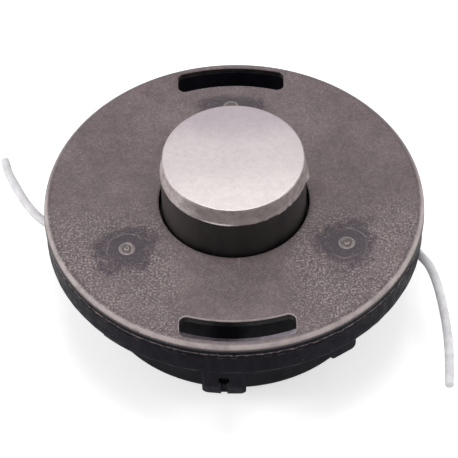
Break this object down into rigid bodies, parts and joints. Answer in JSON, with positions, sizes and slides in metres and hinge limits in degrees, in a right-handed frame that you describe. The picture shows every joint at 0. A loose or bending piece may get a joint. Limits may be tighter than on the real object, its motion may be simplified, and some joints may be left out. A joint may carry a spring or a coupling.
{
  "type": "string trimmer head",
  "caption": "Round bump-feed line head for a string trimmer: wide cover with curved slots, metal-capped knob, sprung spool in a drum housing and loose ends of cutting line.",
  "frame": {"origin": "centre of the hub face that bears on the gearbox, on which the head stands", "axes": "+Z along the shaft towards the bump knob, -Y towards the latch tongue at the front of the picture, +X towards the longer end of line"},
  "size_m": [0.1309, 0.1121, 0.0623],
  "materials": {
    "housing_plastic": "moulded black nylon with a fine grain",
    "cover_plastic": "scuffed dark nylon, greyed on its flat face, rough seam under the rim",
    "spool_plastic": "moulded black nylon",
    "knob_plastic": "moulded black nylon, slightly glossy",
    "cap_aluminium": "cast and faced aluminium, fine satin grain",
    "nut_steel": "turned steel, zinc plated",
    "eyelet_metal": "turned aluminium",
    "spring_steel": "bright spring steel",
    "line_nylon": "translucent milky nylon monofilament"
  },
  "bodies": {
    "head": {"housing": "housing_plastic", "arbor_nut": "nut_steel", "eyelet_left": "eyelet_metal", "eyelet_right": "eyelet_metal", "cover": "cover_plastic", "spring": "spring_steel", "line_tail_left": "line_nylon", "line_tail_right": "line_nylon"},
    "slider": {"spring_washer": "spring_steel"},
    "spool_set": {"spool": "spool_plastic", "line_winding_upper": "line_nylon", "line_winding_lower": "line_nylon", "bump_knob": "knob_plastic", "knob_cap": "cap_aluminium"}
  },
  "joints": [
    {"name": "bump", "type": "slide", "parent": "head", "child": "slider", "axis": [0, 0, -1], "range_m": [0, 0.005], "stiffness_N_per_m": 2500, "springref_m": -0.008, "deforming": ["spring"]},
    {"name": "spool_turn", "type": "hinge", "parent": "slider", "child": "spool_set", "pos_m": [0, 0, 0.03], "axis": [0, 0, 1], "range_deg": [0, 20]}
  ]
}
